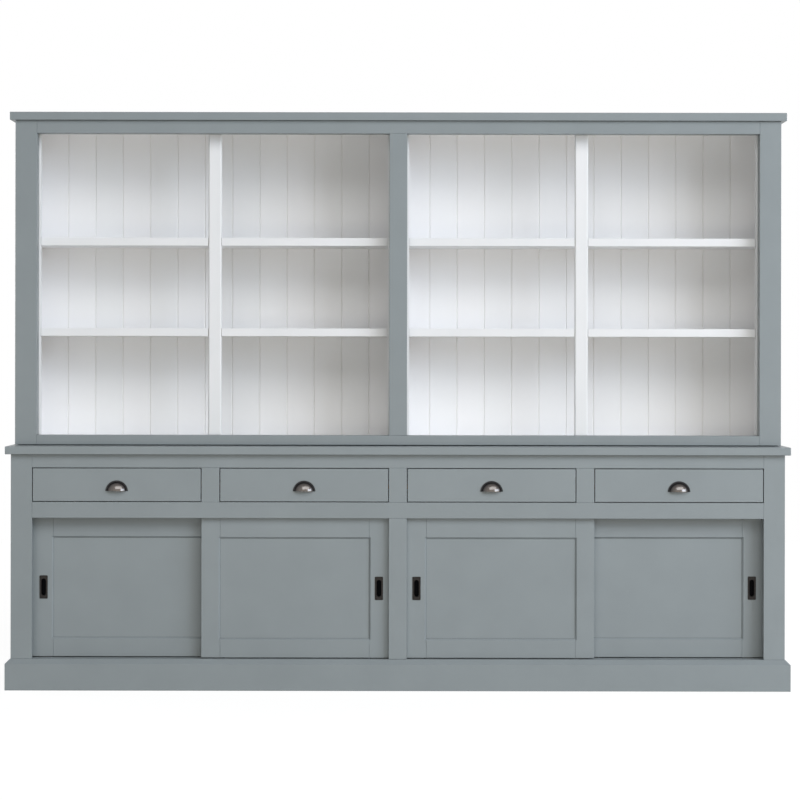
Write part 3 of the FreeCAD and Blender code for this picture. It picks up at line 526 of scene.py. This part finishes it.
lattice = bpy.data.node_groups.new("columns_and_rows", "GeometryNodeTree")
for name, kind in INPUTS.items():
    lattice.interface.new_socket(name, in_out="INPUT", socket_type="NodeSocket" + kind)
lattice.interface.new_socket("result", in_out="OUTPUT", socket_type="NodeSocketGeometry")
given = add(lattice, "NodeGroupInput").outputs
column_line = add(lattice, "GeometryNodeMeshLine",
                  {"Count": given["columns"], "Start Location": given["first"], "Offset": given["column_step"]})
row_line = add(lattice, "GeometryNodeMeshLine", {"Count": given["rows"], "Offset": given["row_step"]})
crossed = add(lattice, "GeometryNodeInstanceOnPoints",
              {"Points": row_line.outputs[0], "Instance": column_line.outputs[0]})
places = add(lattice, "GeometryNodeRealizeInstances", {"Geometry": crossed.outputs[0]})
copies = add(lattice, "GeometryNodeInstanceOnPoints",
             {"Points": places.outputs[0], "Instance": given["piece"]})
chance = add(lattice, "FunctionNodeRandomValue", {"Seed": given["seed"]}, data_type="FLOAT")
toned = add(lattice, "GeometryNodeStoreNamedAttribute",
            {"Geometry": copies.outputs[0], "Name": "tone", "Value": chance.outputs[RANDOM_NUMBER]},
            domain="INSTANCE")
joined = add(lattice, "GeometryNodeRealizeInstances", {"Geometry": toned.outputs[0]})
coated = add(lattice, "GeometryNodeSetMaterial",
             {"Geometry": joined.outputs[0], "Material": given["material"]})
add(lattice, "NodeGroupOutput", {"result": coated.outputs[0]})
print("inputs of the tree:", [socket.name for socket in lattice.interface.items_tree])

# %% [markdown]
# ## Using the tree
# The tree works as a modifier on the one small piece, and it could stay live. But whoever takes the cabinet
# into another program gets plain meshes only, so we turn each result into one, and then say which part of
# the cabinet it rides on.

# %% Repeat a piece
def repeated(name, piece, body, slot, **sizes):
    """One plain mesh of a small piece repeated by the tree, riding on a body."""
    result = bpy.data.objects.new(name, piece)
    scene.collection.objects.link(result)
    modifier = result.modifiers.new("lattice", "NODES")
    modifier.node_group = lattice
    for socket in lattice.interface.items_tree:
        if socket.name in sizes:
            modifier[socket.identifier] = sizes[socket.name]
    graph = bpy.context.evaluated_depsgraph_get()
    mesh = bpy.data.meshes.new_from_object(result.evaluated_get(graph), preserve_all_data_layers=True,
                                           depsgraph=graph)
    result.modifiers.clear()
    result.data = mesh
    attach(result, body)
    print(name, "copies:", sizes["columns"] * sizes["rows"], "faces:", len(mesh.polygons))
    return result


print("ready to repeat with", lattice.name)

# %% [markdown]
# ## The boarded back
# Real boarding is a row of planed boards with the front edges chamfered, so that each joint makes a small V
# that hides the movement of the wood. The back edges are only eased. One grooved sheet would give the same
# lines from the front, and that is what the joinery model has. Loose boards look better: each takes the
# paint a little differently. The boards at the ends are wider, because they run on behind the partition and
# the side walls, so they are made apart from the lattice.

# %% Shape of the boards
CHAMFER_WIDTH = 2.5 * MM
CHAMFER_DEPTH = 3 * MM
BACK_EASE = 1.5 * MM
NAIL_PROUD = 0.6 * MM

back_low, back_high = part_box("upper_back_panels")
board_depth = back_high.y - back_low.y - NAIL_PROUD
board_height = back_high.z - back_low.z


def board_mesh(name, spans):
    """Upright boards on z = 0, one for each low and high X: chamfered in front, eased at the back."""
    mesh = bpy.data.meshes.new(name)
    built = bmesh.new()
    for low, high in spans:
        outline = ((low + BACK_EASE, board_depth), (low, board_depth - BACK_EASE), (low, CHAMFER_DEPTH),
                   (low + CHAMFER_WIDTH, 0), (high - CHAMFER_WIDTH, 0), (high, CHAMFER_DEPTH),
                   (high, board_depth - BACK_EASE), (high - BACK_EASE, board_depth))
        foot = built.faces.new([built.verts.new((x, y, 0)) for x, y in outline])
        raised = bmesh.ops.extrude_face_region(built, geom=[foot])["geom"]
        top = [item for item in raised if isinstance(item, bmesh.types.BMVert)]
        bmesh.ops.translate(built, verts=top, vec=(0, 0, board_height))
    bmesh.ops.recalc_face_normals(built, faces=built.faces)
    built.to_mesh(mesh)
    built.free()
    return mesh


print("boards in mm, depth:", round(board_depth / MM, 1), "height:", round(board_height / MM, 1))

# %% Boards of the back
BOARD_PITCH = 98.2 * MM
BOARDS_A_SIDE = 11
FIRST_JOINTS = {"left": 105.0 * MM, "right": 112.6 * MM}
END_BOARD_SEED = 3
BOARD_SEEDS = {"left": 4, "right": 5}

last_joints = {side: first + BOARDS_A_SIDE * BOARD_PITCH for side, first in FIRST_JOINTS.items()}
board_starts = {"left": -last_joints["left"], "right": FIRST_JOINTS["right"]}
wide_spans = [(-back_high.x, -last_joints["left"]), (-FIRST_JOINTS["left"], 0), (0, FIRST_JOINTS["right"]),
              (last_joints["right"], back_high.x)]
wide_boards = repeated("back_end_boards", board_mesh("end_boards", wide_spans), "carcass", "white_paint",
                       columns=1, rows=1, first=(0, back_low.y, back_low.z), seed=END_BOARD_SEED,
                       material=board_paint)
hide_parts("upper_back_panels")
for side, start in board_starts.items():
    repeated(f"back_boards_{side}", board_mesh(f"board_{side}", [(0, BOARD_PITCH)]), "carcass", "white_paint",
             columns=BOARDS_A_SIDE, column_step=(BOARD_PITCH, 0, 0), rows=1,
             first=(start, back_low.y, back_low.z), seed=BOARD_SEEDS[side], material=board_paint)

# %% [markdown]
# ## Nails and brads
# Two round nail heads at each end hold every board to the top and the bottom of the bookcase, and four brads
# hold each pull plate. A photograph of this size hardly shows them, but whoever turns the cabinet round will
# look for them. A turned profile would give every detail of a head, but a squashed ball that is half sunk is
# enough for a domed one.

# %% Nails and brads
NAIL_RADIUS = 2.5 * MM
NAIL_INSET = 9 * MM
NAIL_SEED = 5
BRAD_RADIUS = 1.4 * MM
BRAD_PROUD = 0.5 * MM
BRAD_INSET = 4 * MM
HEAD_SEGMENTS, HEAD_RINGS = 14, 8


def head_mesh(name, radius, proud):
    """Domed head that is half sunk in a surface facing along Y."""
    mesh = bpy.data.meshes.new(name)
    built = bmesh.new()
    bmesh.ops.create_uvsphere(built, u_segments=HEAD_SEGMENTS, v_segments=HEAD_RINGS, radius=1.0)
    bmesh.ops.scale(built, vec=(radius, proud, radius), verts=built.verts)
    for face in built.faces:
        face.smooth = True
    built.to_mesh(mesh)
    built.free()
    return mesh


nail_rise = board_height - 2 * NAIL_INSET
for side, start in board_starts.items():
    repeated(f"back_nails_{side}", head_mesh(f"nail_{side}", NAIL_RADIUS, NAIL_PROUD), "carcass", "pin_steel",
             columns=2 * BOARDS_A_SIDE, column_step=(BOARD_PITCH / 2, 0, 0), rows=2,
             row_step=(0, 0, nail_rise),
             first=(start + BOARD_PITCH / 4, back_low.y + board_depth, back_low.z + NAIL_INSET),
             seed=NAIL_SEED, material=nickel)
for number, row in DOOR_ROWS.items():
    plate_low, plate_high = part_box(f"door_{number}_flush_pull")
    across = plate_high.x - plate_low.x - 2 * BRAD_INSET
    up = plate_high.z - plate_low.z - 2 * BRAD_INSET
    repeated(f"plate_brads_{number}", head_mesh(f"brad_{number}", BRAD_RADIUS, BRAD_PROUD),
             f"door_{number}", "bronze", columns=2, column_step=(across, 0, 0), rows=2, row_step=(0, 0, up),
             first=(plate_low.x + BRAD_INSET, plate_low.y, plate_low.z + BRAD_INSET), seed=number,
             material=plate_bronzes[row])
